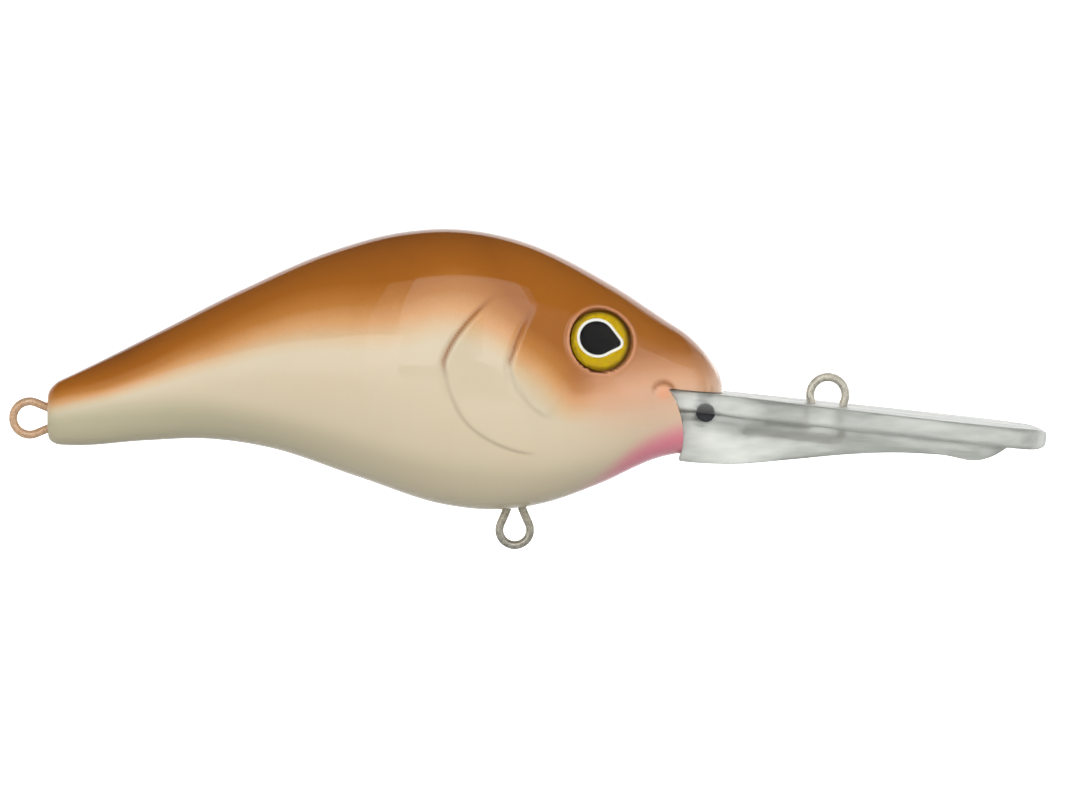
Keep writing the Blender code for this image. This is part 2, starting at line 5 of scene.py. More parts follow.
import bpy
import numpy as np
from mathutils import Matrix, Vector

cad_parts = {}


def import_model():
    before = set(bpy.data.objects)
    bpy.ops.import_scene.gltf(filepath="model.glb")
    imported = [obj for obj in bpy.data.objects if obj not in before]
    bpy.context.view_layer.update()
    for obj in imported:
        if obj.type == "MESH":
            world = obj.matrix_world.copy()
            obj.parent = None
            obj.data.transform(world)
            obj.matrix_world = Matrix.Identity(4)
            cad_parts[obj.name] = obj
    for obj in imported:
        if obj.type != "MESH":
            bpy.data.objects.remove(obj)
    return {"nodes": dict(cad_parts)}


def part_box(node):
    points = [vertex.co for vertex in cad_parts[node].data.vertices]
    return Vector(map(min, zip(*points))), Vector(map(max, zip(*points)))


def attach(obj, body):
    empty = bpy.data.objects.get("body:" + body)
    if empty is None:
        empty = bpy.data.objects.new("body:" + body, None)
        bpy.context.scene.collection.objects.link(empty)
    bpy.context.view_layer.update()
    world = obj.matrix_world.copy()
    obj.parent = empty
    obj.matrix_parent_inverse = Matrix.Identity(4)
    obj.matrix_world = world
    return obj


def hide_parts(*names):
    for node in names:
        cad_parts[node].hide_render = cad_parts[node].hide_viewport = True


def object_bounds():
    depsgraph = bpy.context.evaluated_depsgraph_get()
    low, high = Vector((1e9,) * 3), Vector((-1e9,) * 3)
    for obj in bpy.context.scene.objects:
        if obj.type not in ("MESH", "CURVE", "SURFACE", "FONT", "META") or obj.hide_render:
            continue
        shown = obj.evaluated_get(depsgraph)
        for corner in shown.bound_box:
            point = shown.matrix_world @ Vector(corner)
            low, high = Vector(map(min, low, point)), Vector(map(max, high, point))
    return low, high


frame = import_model()
cad_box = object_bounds()
BODY = "lure"
MM = 0.001

# The lure's design frame, in millimetres: X forwards from the tail face, Z up from the tail eye's level.
tail_box, shell_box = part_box("tail_hook_hanger"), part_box("body_shell_right")
ORIGIN = Vector((shell_box[0].x, 0, (tail_box[0].z + tail_box[1].z) / 2))
NOSE_TRIM = 0.02  # the shells stop this far short of the nose's point
BODY_LENGTH = (shell_box[1].x - shell_box[0].x) / MM + NOSE_TRIM


def world(points):
    """Design points in millimetres as world points in metres."""
    return np.asarray(points, float) * MM + np.array(ORIGIN)


def smooth(points):
    """A smooth curve through the points, as a function of an array x."""
    x, y = (np.array(column, float) for column in zip(*points))
    widths = np.diff(x)
    steps = np.diff(y) / widths
    inner = (steps[:-1] * widths[1:] + steps[1:] * widths[:-1]) / (widths[:-1] + widths[1:])
    slopes = np.concatenate([[steps[0]], inner, [steps[-1]]])

    def value(at):
        at = np.clip(at, x[0], x[-1])
        i = np.clip(np.searchsorted(x, at, side="right") - 1, 0, len(x) - 2)
        t = (at - x[i]) / widths[i]
        rise = y[i] * (1 + 2 * t) * (1 - t) ** 2 + y[i + 1] * t * t * (3 - 2 * t)
        return rise + widths[i] * (slopes[i] * t * (1 - t) ** 2 + slopes[i + 1] * t * t * (t - 1))

    return value


def smoothstep(t):
    t = np.clip(t, 0.0, 1.0)
    return t * t * (3 - 2 * t)


def bell(distance, width):
    """1 at no distance, falling to 0 on both sides."""
    return np.exp(-((distance / width) ** 2))


def power(base, exponent):
    return np.sign(base) * np.abs(base) ** exponent


def eased(count, start, end):
    """Numbers from start to end, close together at both ends."""
    turns = np.linspace(0, math.pi, count)
    return start + (end - start) * (1 - np.cos(turns)) / 2


# ------------------------------------------------------------------------------ the shapes' curves

BACK = [(0, 3.7), (3, 5.1), (12, 9.6), (22, 14.7), (32, 19.05), (40, 21.2), (46, 21.6), (54, 20.15),
        (64.5, 15.0), (71, 10.7), (BODY_LENGTH, 7.3)]
BELLY = [(0, -3.0), (3, -3.15), (11, -2.6), (18, -2.4), (25, -3.4), (35, -6.7), (45, -9.9),
         (50.5, -10.45), (56, -9.75), (62.5, -7.5), (69, -4.6), (BODY_LENGTH, -3.4)]
HALF_WIDTH = [(0, 3.0), (4, 3.5), (12, 4.9), (22, 7.1), (32, 9.2), (42, 10.7), (50, 11.0),
              (58, 10.6), (66, 9.1), (72, 7.4), (BODY_LENGTH, 6.6)]
BOXINESS = [(0, 2.2), (40, 2.2), (60, 2.7), (BODY_LENGTH, 2.7)]
WIDEST_LEVEL, WALL, SPLIT_GAP = 0.46, 1.6, 0.1  # the first is a share of the section's height
TAIL_ROUND, TAIL_FLAT = 1.4, 0.72
NOSE_ROUND, NOSE_POWER, NOSE_LEVEL = 5.2, 2.4, 2.8
CAVITY_TAIL, CAVITY_NOSE, CAVITY_ROUND = 11.5, 61.5, 3.0
back, belly, half_width, boxiness = map(smooth, (BACK, BELLY, HALF_WIDTH, BOXINESS))

EYE_AT, EYE_FACING = Vector((62.7, 0, 9.2)), Vector((0.24, -0.95, 0.18)).normalized()
SOCKET_RADIUS, SOCKET_DEPTH, EYE_RADIUS = 3.5, 1.3, 3.42

BILL_ROOT, BILL_DROP, BILL_LENGTH = (70.8, 3.5), math.radians(6.3), 42.7
JAW_RADIUS, JAW_FRONT, JAW_LEVEL, JAW_TOP, JAW_BOTTOM = 10.0, 71.9, -1.9, 3.9, -7.0

# Raised plate edges behind the head, as (x, z) points from the top down.
OUTER_GILL = [(52.1, 14.9), (49.2, 12.4), (46.9, 9.8), (45.6, 7.6), (45.3, 6.1), (46.0, 3.2), (47.5, 0.3),
              (50.1, -1.8), (53.3, -3.1), (55.8, -3.4)]
INNER_GILL = [(55.7, 13.2), (54.1, 10.4), (53.0, 7.5), (52.7, 5.8), (53.7, 3.6), (55.5, 1.5), (57.4, 0.4)]
GILLS = [(OUTER_GILL, 0.40, 0.40), (INNER_GILL, 0.30, 0.45)]  # each with its height and its edge's width
NOSTRIL = (69.7, 3.2)


def closing(x):
    """How much of the full section is left at x, where the tail and the nose round off."""
    inward = np.clip(1 - x / TAIL_ROUND, 0, 1)
    tail = TAIL_FLAT + (1 - TAIL_FLAT) * np.sqrt(1 - inward**2)
    outward = np.clip((x - (BODY_LENGTH - NOSE_ROUND)) / NOSE_ROUND, 0, 1)
    nose = np.maximum(1 - outward**NOSE_POWER, 0.0) ** (1 / NOSE_POWER)
    return tail * nose


def section(x, angles, inset=0.0, share=1.0):
    """(y, z) of the body's section at each x and angle from the top, on the positive Y side."""
    top, bottom = back(x), belly(x)
    middle = np.where(x < BODY_LENGTH / 2, (top + bottom) / 2, NOSE_LEVEL)
    scale = closing(x)
    top, bottom = middle + (top - middle) * scale - inset, middle + (bottom - middle) * scale + inset
    side = half_width(x) * scale - inset
    level = bottom + WIDEST_LEVEL * (top - bottom)
    shape = 2 / boxiness(x)
    reach = np.where(np.cos(angles) > 0, top - level, level - bottom)
    y = side * power(np.sin(angles), shape) * share
    return y, level + reach * power(np.cos(angles), shape) * share


def surface_y(x, z):
    """Half the body's width at one place."""
    top, bottom = back(x), belly(x)
    level = bottom + WIDEST_LEVEL * (top - bottom)
    reach = (top - level) if z > level else (level - bottom)
    return half_width(x) * (1 - abs((z - level) / reach) ** boxiness(x)) ** (1 / boxiness(x))


# ---------------------------------------------------------------------------------------- meshes

def make_mesh(name, points, faces, sharp=40):
    """A smooth object, with sharp edges where faces meet at over sharp degrees."""
    mesh = bpy.data.meshes.new(name)
    mesh.from_pydata([tuple(p) for p in points], [], [tuple(f) for f in faces])
    mesh.shade_smooth()
    mesh.set_sharp_from_angle(angle=math.radians(sharp))
    made = bpy.data.objects.new(name, mesh)
    bpy.context.scene.collection.objects.link(made)
    return made


def loft(rings):
    """Faces of the closed shape through rings, given as an array (ring, point, 3)."""
    count, size = rings.shape[:2]
    faces = [tuple(reversed(range(size))), tuple(range((count - 1) * size, count * size))]
    for start in range(0, (count - 1) * size, size):
        for i in range(size):
            a, b = start + i, start + (i + 1) % size
            faces.append((a, b, b + size, a + size))
    return rings.reshape(-1, 3), faces


CUTTER_REACH = 30  # cutters reach this far, past the lure's own sides


def prism(outline, low, high):
    """An outline of (x, z) pairs drawn out along Y."""
    area = sum(a[0] * b[1] - b[0] * a[1] for a, b in zip(outline, outline[1:] + outline[:1]))
    if area > 0:
        outline = outline[::-1]
    return loft(np.array([[(x, level, z) for x, z in outline] for level in (low, high)]))


def cut_away(target, cutter):
    """Cuts the cutter from the target, and removes the cutter."""
    modifier = target.modifiers.new("cut", "BOOLEAN")
    modifier.operation = "DIFFERENCE"
    modifier.solver = "EXACT"
    modifier.object = cutter
    bpy.context.view_layer.update()
    cut = bpy.data.meshes.new_from_object(target.evaluated_get(bpy.context.evaluated_depsgraph_get()))
    target.modifiers.clear()
    target.data = cut
    bpy.data.objects.remove(cutter)


def finish_piece(piece, material, node):
    """Gives the piece its material, and hands it over in place of a CAD node."""
    piece.data.materials.clear()
    piece.data.materials.append(material)
    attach(piece, BODY)
    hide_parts(node)


def set_attribute(obj, name, values):
    attribute = obj.data.attributes.new(name, "FLOAT", "POINT")
    attribute.data.foreach_set("value", np.asarray(values, np.float32))


def points_of(obj):
    """The mesh's points in the design frame, in millimetres."""
    co = np.empty(len(obj.data.vertices) * 3, np.float32)
    obj.data.vertices.foreach_get("co", co)
    return (co.reshape(-1, 3) - np.array(ORIGIN)) / MM


def curve_through(points, per_span=14):
    """A dense smooth path through points."""
    p = np.array(points, float)
    p = np.vstack([2 * p[0] - p[1], p, 2 * p[-1] - p[-2]])
    out = []
    for i in range(1, len(p) - 2):
        t = np.linspace(0, 1, per_span, endpoint=False)[:, None]
        a, b, c, d = p[i - 1 : i + 3]
        out.append(0.5 * (2 * b + (c - a) * t + (2 * a - 5 * b + 4 * c - d) * t**2
                          + (3 * b - a - 3 * c + d) * t**3))
    return np.vstack([*out, p[-2:-1]])


def along_path(x, z, path):
    """(signed distance, place 0 to 1) of each (x, z) from a path. Positive is left of its way."""
    best, signed, place = np.full(x.shape, 1e9), np.zeros(x.shape), np.zeros(x.shape)
    for i, (a, b) in enumerate(zip(path[:-1], path[1:])):
        d = b - a
        t = np.clip(((x - a[0]) * d[0] + (z - a[1]) * d[1]) / (d @ d), 0, 1)
        gap = np.hypot(x - a[0] - t * d[0], z - a[1] - t * d[1])
        side = np.sign(d[0] * (z - a[1]) - d[1] * (x - a[0]))
        near = gap < best
        best = np.where(near, gap, best)
        signed = np.where(near, gap * side, signed)
        place = np.where(near, (i + t) / (len(path) - 1), place)
    return signed, place


# ------------------------------------------------------------------------------------- materials

def srgb(r, g, b):
    channels = (c / 255 for c in (r, g, b))
    return tuple(c / 12.92 if c <= 0.04045 else ((c + 0.055) / 1.055) ** 2.4 for c in channels) + (1,)


class Nodes:
    """A short way to write a node material."""

    def __init__(self, name):
        self.material = bpy.data.materials.new(name)
        self.material.use_nodes = True
        self.tree = self.material.node_tree
        self.shader = self.tree.nodes["Principled BSDF"]

    def add(self, kind, inputs=(), **settings):
        node = self.tree.nodes.new(kind)
        for key, value in settings.items():
            setattr(node, key, value)
        for socket, value in dict(inputs).items():
            self.put(node.inputs[socket], value)
        return node

    def put(self, socket, value):
        if isinstance(value, bpy.types.NodeSocket):
            self.tree.links.new(value, socket)
        else:
            socket.default_value = value

    def set(self, **inputs):
        """Sets the shader's inputs. An underscore stands for a space in an input's name."""
        for name, value in inputs.items():
            self.put(self.shader.inputs[name.replace("_", " ")], value)

    def position(self, scale=1.0):
        """Object coordinates in millimetres, times a scale."""
        coordinates = self.add("ShaderNodeTexCoord").outputs["Object"]
        scaled = self.add("ShaderNodeVectorMath", {0: coordinates}, operation="SCALE")
        scaled.inputs["Scale"].default_value = scale / MM
        return scaled.outputs[0]

    def noise(self, size, detail=2.0, rough=0.5, stretch=None):
        """Noise of a feature size in millimetres, about 0.5."""
        where = self.position()
        if stretch:
            where = self.add("ShaderNodeVectorMath", {0: where, 1: stretch}, operation="MULTIPLY").outputs[0]
        inputs = {"Vector": where, "Scale": 1 / size, "Detail": detail, "Roughness": rough}
        return self.add("ShaderNodeTexNoise", inputs).outputs["Fac"]

    def math(self, operation, a, b=0.0, c=0.0, clamp=False):
        node = self.add("ShaderNodeMath", operation=operation, use_clamp=clamp)
        for socket, value in zip(node.inputs, (a, b, c)):
            self.put(socket, value)
        return node.outputs[0]

    def scaled(self, value, share, start):
        """The value times a share, plus a start."""
        return self.math("MULTIPLY_ADD", value, share, start)

    def attribute(self, name):
        return self.add("ShaderNodeAttribute", attribute_name=name).outputs["Fac"]

    def ramp(self, value, stops):
        node = self.add("ShaderNodeValToRGB", {"Fac": value})
        ramp = node.color_ramp
        while len(ramp.elements) < len(stops):
            ramp.elements.new(0.5)
        for element, (place, colour) in zip(ramp.elements, stops):
            element.position = place
            element.color = colour
        return node.outputs["Color"]

    def mix(self, share, a, b, blend="MIX"):
        node = self.add("ShaderNodeMix", data_type="RGBA", blend_type=blend)
        for socket, value in zip((node.inputs[0], node.inputs[6], node.inputs[7]), (share, a, b)):
            self.put(socket, value)
        return node.outputs[2]

    def between(self, value, low, high):
        """The value's place between two limits, from 0 to 1."""
        node = self.add("ShaderNodeMapRange", {"Value": value, "From Min": low, "From Max": high})
        return node.outputs[0]

    def bump(self, height, strength, depth):
        node = self.add("ShaderNodeBump", {"Height": height, "Strength": strength, "Distance": depth * MM})
        self.put(self.shader.inputs["Normal"], node.outputs[0])


# Cream flank to brown back; the last, darkest stops are painted shade along the top of the back
FLANK_TO_BACK = [
    (0.0, srgb(200, 186, 159)),
    (0.10, srgb(201, 174, 138)),
    (0.22, srgb(199, 147, 95)),
    (0.34, srgb(174, 114, 54)),
    (0.50, srgb(152, 90, 30)),
    (0.75, srgb(138, 80, 28)),
    (1.0, srgb(114, 67, 30)),
]
# The underside's colour is a slightly olive paint, mostly painted shade where the belly gets less light
UNDERSIDE_PAINT_AND_SHADE, CHEEK_PAINT, THROAT_PAINT = srgb(171, 164, 136), srgb(203, 155, 128), srgb(214, 120, 138)
# The crease colour is brown paint in the gills' grooves and painted shade over the nostril; the rim colour is
# a painted highlight on the eye's raised rim and inside the nostril
CREASE_PAINT_AND_SHADE, RIM_HIGHLIGHT = srgb(142, 84, 40), srgb(222, 158, 122)


def paint_material():
    """Airbrushed paints, with painted shade and painted highlights among them, laid on one by one by the
    shell's attributes, under a gloss coat.
    """
    n = Nodes("airbrushed_paint")
    drift = n.scaled(n.noise(6.0, 3.0), 0.14, -0.07)
    speckle = n.scaled(n.noise(0.22, 2.0, 0.7), 0.10, -0.05)
    back_share = n.math("ADD", n.math("ADD", n.attribute("back"), drift), speckle)
    paint_so_far = n.ramp(n.math("MULTIPLY", back_share, 0.5), FLANK_TO_BACK)
    # Underside: olive paint, mostly painted shade on the belly and the tail's lower half
    paint_so_far = n.mix(n.attribute("under"), paint_so_far, UNDERSIDE_PAINT_AND_SHADE)
    paint_so_far = n.mix(n.attribute("cheek"), paint_so_far, CHEEK_PAINT)
    throat = n.attribute("throat")
    pink = n.math("ADD", throat, n.math("MULTIPLY", speckle, throat), clamp=True)
    paint_so_far = n.mix(pink, paint_so_far, THROAT_PAINT)
    # Brown paint in the gills' grooves, and painted shade over the nostril
    paint_so_far = n.mix(n.attribute("crease"), paint_so_far, CREASE_PAINT_AND_SHADE)
    # Painted highlight on the eye's raised rim and inside the nostril
    paint_so_far = n.mix(n.attribute("rim"), paint_so_far, RIM_HIGHLIGHT)
    n.set(Base_Color=paint_so_far, Roughness=n.scaled(n.noise(1.6, 3.0), 0.16, 0.42), Specular_IOR_Level=0.0)
    n.set(Coat_Weight=1.0, Coat_Roughness=0.03, Coat_IOR=1.5)
    n.bump(n.noise(2.2, 3.0, 0.6), 0.08, 0.04)
    return n.material


def bill_material():
    """Hazy, smoky polycarbonate with flow marks along its length, clearer where the attribute says so."""
    n = Nodes("clear_moulding")
    flow = n.noise(3.6, 3.0, 0.55, stretch=(0.3, 1.0, 1.0))
    smoke = [(0.34, srgb(164, 167, 161)), (0.5, srgb(201, 204, 197)), (0.64, srgb(226, 228, 222))]
    n.set(Base_Color=n.ramp(flow, smoke), IOR=1.5, Roughness=n.scaled(n.noise(3.0, 3.0), 0.10, 0.34))
    n.set(Transmission_Weight=n.scaled(n.attribute("clear"), 0.40, 0.55))
    n.bump(flow, 0.5, 0.8)
    return n.material


def wire_material(name, tint, dull, bright):
    """Wire with a share of overspray, given by the attribute spray."""
    n = Nodes(name)
    drawn = n.noise(0.6, 3.0, 0.6, stretch=(1.0, 3.0, 1.0))
    metal = n.ramp(drawn, [(0.3, dull), (0.7, bright)])
    spray = n.math("ADD", n.attribute("spray"), n.scaled(n.noise(0.8, 2.0), 0.3, -0.15), clamp=True)
    n.set(Base_Color=n.mix(spray, metal, tint), Metallic=n.math("SUBTRACT", 1.0, spray, clamp=True))
    n.set(Roughness=n.scaled(drawn, 0.2, 0.18))
    n.bump(drawn, 0.15, 0.02)
    return n.material


GOLD_FLECKS = [(0.32, srgb(96, 68, 0)), (0.46, srgb(180, 142, 0)), (0.58, srgb(222, 190, 0)),
               (0.74, srgb(244, 224, 60))]
# The iris's dark edge colour is painted shade, where the foil meets the socket
IRIS_EDGE_SHADE, PUPIL_RING, PUPIL = srgb(84, 52, 4), srgb(236, 236, 226), srgb(14, 13, 13)


def foil_material():
    """A gold iris darkened towards its edge by a ring of painted shade, and a black pupil with a white ring
    round it.
    """
    n = Nodes("eye_print")
    flecks = n.noise(0.16, 3.0, 0.8)
    # Painted shade: the iris darkens to brown at its outer edge
    iris = n.mix(n.between(n.attribute("radius"), 2.85, 3.3), n.ramp(flecks, GOLD_FLECKS), IRIS_EDGE_SHADE)
    tear = n.attribute("tear")
    ring = n.mix(n.between(tear, 0.30, 0.36), PUPIL_RING, iris)
    pupil = n.mix(n.between(tear, 0.0, 0.06), PUPIL, ring)
    n.set(Base_Color=pupil, Roughness=n.scaled(flecks, 0.25, 0.25), Specular_IOR_Level=0.0)
    return n.material


def dome_material():
    n = Nodes("clear_lens")
    tint = n.ramp(n.noise(2.0), [(0.3, (0.96, 0.96, 0.95, 1)), (0.7, (1, 1, 1, 1))])
    n.set(Base_Color=tint, Transmission_Weight=1.0, IOR=1.14, Roughness=0.0)
    n.bump(n.noise(1.5), 0.05, 0.05)
    return n.material


def weight_material(name, dark, light, metallic):
    n = Nodes(name)
    cast = n.noise(0.5, 4.0, 0.7)
    n.set(Base_Color=n.ramp(cast, [(0.3, dark), (0.7, light)]), Metallic=metallic)
    n.set(Roughness=n.scaled(cast, 0.3, 0.25))
    n.bump(cast, 0.2, 0.03)
    return n.material


# --------------------------------------------------------------------------------- the body shells

# The raised gills would reach past the CAD model's box, so the shell under them is this much slimmer,
# and all of it is a little less high about the level that keeps its place.
SLIMMER, SLIM_AT, SLIM_REACH = 0.037, 49.0, 8.0
LESS_HIGH, KEPT_LEVEL = 0.0028, 5
GILL_FADES = (0.30, 0.12)  # shares of a gill's length over which it fades, at its top and its foot
GILL_SLOPE, GROOVE_DEPTH, GROOVE_WIDTH = 3.2, 0.22, 0.35
RIM_RADIUS, RIM_HEIGHT, RIM_WIDTH = 3.85, 0.16, 0.25
NOSTRIL_RADIUS, NOSTRIL_HEIGHT, NOSTRIL_GROOVE = 1.15, 0.28, 0.2


def shell_points(stations, count):
    """The outer surface of one side as an array (station, angle, 3), with its relief."""
    angles = np.linspace(0, math.pi, count)[None, :]
    x = np.broadcast_to(stations[:, None], (len(stations), count))
    y, z = section(x, angles)
    y = y * (1 - SLIMMER * bell(x - SLIM_AT, SLIM_REACH))
    points = np.stack([x, y, z - LESS_HIGH * (z - KEPT_LEVEL)], axis=-1)
    across = np.gradient(points, axis=1)
    along = np.gradient(points, axis=0)
    normals = np.cross(along, across)
    normals /= np.maximum(np.linalg.norm(normals, axis=-1, keepdims=True), 1e-9)
    normals *= np.sign(normals[:, count // 2, 1])[:, None, None]
    return points + normals * relief(points)[..., None]


def gill_height(x, z, points, height, edge):
    """A plate's edge: a groove, a step up and a long slope down ahead of it."""
    signed, place = along_path(x, z, curve_through(points))
    fade = smoothstep(place / GILL_FADES[0]) * smoothstep((1 - place) / GILL_FADES[1])
    step = smoothstep((signed + edge) / edge) * np.exp(-np.clip(signed, 0, None) / GILL_SLOPE)
    groove = -GROOVE_DEPTH * bell(signed + edge * 1.1, GROOVE_WIDTH)
    return height * fade * (step + groove)


def eye_axis_distance(points):
    """Each point's distance from the eye's axis and height over the eye, and the way the eye faces.

    The points are on the positive Y side.
    """
    facing = np.array([EYE_FACING.x, -EYE_FACING.y, EYE_FACING.z])
    centre = np.array([EYE_AT.x, float(surface_y(EYE_AT.x, EYE_AT.z)), EYE_AT.z])
    offset = points - centre
    height = offset @ facing
    return np.linalg.norm(offset - height[..., None] * facing, axis=-1), height, facing


def relief(points):
    """How far the surface rises over its plain section: the gills, the eye's rim and the nostril."""
    x, z = points[..., 0], points[..., 2]
    rise = sum(gill_height(x, z, *gill) for gill in GILLS)
    radius, _, _ = eye_axis_distance(points)
    rise = rise * smoothstep((radius - 4.2) / 2)
    rise += RIM_HEIGHT * bell(radius - RIM_RADIUS, RIM_WIDTH)
    nostril = np.hypot(x - NOSTRIL[0], z - NOSTRIL[1])
    upper = smoothstep((z - NOSTRIL[1] + 0.5) / 0.8)
    mound = NOSTRIL_HEIGHT * bell(nostril, 0.75)
    groove = NOSTRIL_GROOVE * bell(nostril - NOSTRIL_RADIUS, 0.22)
    return rise + upper * (mound - groove)


def ahead_of(x, z, points, width):
    """1 in front of a gill edge, extended straight at both ends, and 0 behind it."""
    path = curve_through(points)
    start, end = path[0] + (path[0] - path[1]) * 60, path[-1] + (path[-1] - path[-2]) * 60
    signed, _ = along_path(x, z, np.vstack([start, path, end]))
    return smoothstep(signed / width + 0.5)


def sink_eye(points):
    """The points inside the socket pushed down to its floor."""
    radius, height, facing = eye_axis_distance(points)
    floor = -SOCKET_DEPTH - 0.02
    inside = 1 - smoothstep((radius - SOCKET_RADIUS) / 0.16)
    return points + ((floor - height) * inside)[..., None] * facing


RING_POINTS, INNER_POINTS = 170, 24
TAIL_RUN, EYE_START, NOSE_START = 20.0, 56.0, 69.0
CAVITY_END_SHARE, SEAM_INSET = 0.55, 0.3


def shell_stations():
    """Places along the body, closer together at the ends and over the gills and the eye."""
    nose_run = BODY_LENGTH - NOSE_TRIM - NOSE_START
    tail = eased(120, 0, 2 * TAIL_RUN)[:60]
    flank = np.linspace(TAIL_RUN, EYE_START, 150)[:-1]
    head = np.linspace(EYE_START, NOSE_START, 90)[:-1]
    nose = NOSE_START - nose_run + eased(140, 0, 2 * nose_run)[70:]
    return np.unique(np.round(np.concatenate([tail, flank, head, nose]), 6))


def shell_inside(stations, outer):
    """The cavity's wall, and flat joint faces where the tail and the nose are solid."""
    angles = np.linspace(math.pi, 0, INNER_POINTS)[None, :]
    x = np.broadcast_to(stations[:, None], (len(stations), INNER_POINTS))
    from_end = np.clip(np.minimum(x - CAVITY_TAIL, CAVITY_NOSE - x) / CAVITY_ROUND, 0, 1)
    share = CAVITY_END_SHARE + (1 - CAVITY_END_SHARE) * np.sqrt(1 - (1 - from_end) ** 2)
    y, z = section(x, angles, WALL, share)
    hollow = (x > CAVITY_TAIL) & (x < CAVITY_NOSE)
    inset = SEAM_INSET * closing(x[:, :1])
    top, bottom = outer[:, :1, 2] - inset, outer[:, -1:, 2] + inset
    flat = bottom + (top - bottom) * np.linspace(0, 1, INNER_POINTS)[None, :]
    y = np.where(hollow, np.maximum(y, SPLIT_GAP / 2), SPLIT_GAP / 2)
    return np.stack([x, y, np.where(hollow, z, flat)], axis=-1)


def cut_mouth(shell):
    """Cuts the bill's seat from the nose, up to the jaw's round face."""
    root = 0.1  # the cut starts this far over the bill's top
    mouth = [along_bill(BILL_LENGTH, root), along_bill(0, root), *jaw_face(top=BILL_ROOT[1] + root),
             (BILL_ROOT[0] + BILL_LENGTH, JAW_BOTTOM)]
    points, faces = prism(mouth, -CUTTER_REACH, CUTTER_REACH)
    cut_away(shell, make_mesh("mouth", world(points), faces))


def make_shell(side, name, node, material):
    """One half of the body. Side is 1 for the left and -1 for the right."""
    stations = shell_stations()
    outer = sink_eye(shell_points(stations, RING_POINTS))
    outer[..., 1] = np.maximum(outer[..., 1], SPLIT_GAP / 2)
    rings = np.concatenate([outer, shell_inside(stations, outer)], axis=1)
    rings[..., 1] *= side
    if side > 0:
        rings = rings[:, ::-1]
    points, faces = loft(rings)
    shell = make_mesh(name, world(points), faces, 55)
    cut_mouth(shell)
    paint(shell)
    finish_piece(shell, material, node)


# Where the paints lie, along x: the level where the brown is half strong, how high its fade is, how strong
# it gets, the level and the strength of the underside's olive paint and painted shade, and the throat's upper
# edge.
BACK_LEVEL = smooth([(0, 1.6), (8.2, 3.7), (17.2, 7.3), (28.6, 11.1), (40, 12.0), (47, 13.3), (51.5, 11.0),
                     (55.5, 7.2), (58, 4.8), (63, 3.6), (67, 4.4), (72, 4.9), (BODY_LENGTH, 4.2)])
BACK_BLUR = smooth([(0, 3.0), (8.2, 2.8), (17.2, 4.6), (28.6, 7.0), (40, 8.0), (48, 8.5), (58, 7.5),
                    (BODY_LENGTH, 6.0)])
DARKEST_BACK = smooth([(0, 1.9), (38, 1.9), (47, 1.7), (52, 1.15), (60, 1.0), (BODY_LENGTH, 1.0)])
UNDER_LEVEL = smooth([(0, 0.8), (8, 1.6), (17, 2.0), (28, -0.2), (45, -4.6), (60, -5.0), (BODY_LENGTH, -2.0)])
UNDER_SHARE = smooth([(0, 0.95), (20, 0.85), (35, 0.6), (60, 0.4), (BODY_LENGTH, 0.2)])
THROAT_LEVEL = smooth([(54, -11.5), (58, -9.4), (62, -6.8), (67, -2.8), (72, -0.6), (BODY_LENGTH, 0.0)])
GILL_SHADES = (0.05, 0.16)  # how much browner each plate is just ahead of its edge
# The cheek paint's level, and the middle of a patch of painted shade behind and under the eye
CHEEK_LEVEL, UNDER_EYE_SHADE_AT = 2.8, (60.3, 4.6)


def back_paint(x, z):
    """The brown's share: 0 on the flank, 0.5 at its level, 2 at the most, with a patch of painted shade
    behind and under the eye.
    """
    brown = 0.5 + (z - BACK_LEVEL(x)) / BACK_BLUR(x)
    for (gill, _, _), shade in zip(GILLS, GILL_SHADES):
        distance, _ = along_path(x, z, curve_through(gill))
        brown = brown + shade * ahead_of(x, z, gill, 0.5) * bell(distance, 3.0)
    # Painted shade: a darker brown patch behind and under the eye, standing in for the dark gap between
    # reflections
    under_eye_shade = bell(x - UNDER_EYE_SHADE_AT[0], 1.8) * bell(z - UNDER_EYE_SHADE_AT[1], 2.2)
    return np.clip(brown + 0.30 * under_eye_shade, 0, DARKEST_BACK(x))


def crease_paint_and_shade(x, z, nostril):
    """Brown paint in the upper half of the gills' grooves, and painted shade in an arch over the nostril."""
    crease = np.zeros(len(x))
    for gill, _, edge in GILLS:
        signed, place = along_path(x, z, curve_through(gill))
        upper = smoothstep((0.50 - place) / 0.12) * smoothstep(place / 0.12)
        crease = np.maximum(crease, bell(signed + edge * 0.9, 0.27) * upper * 0.85)
    # Painted shade under the nostril's upper rim
    arch = bell(nostril - 1.12, 0.24) * smoothstep((z - NOSTRIL[1]) / 0.7)
    return np.maximum(crease, 0.9 * arch)


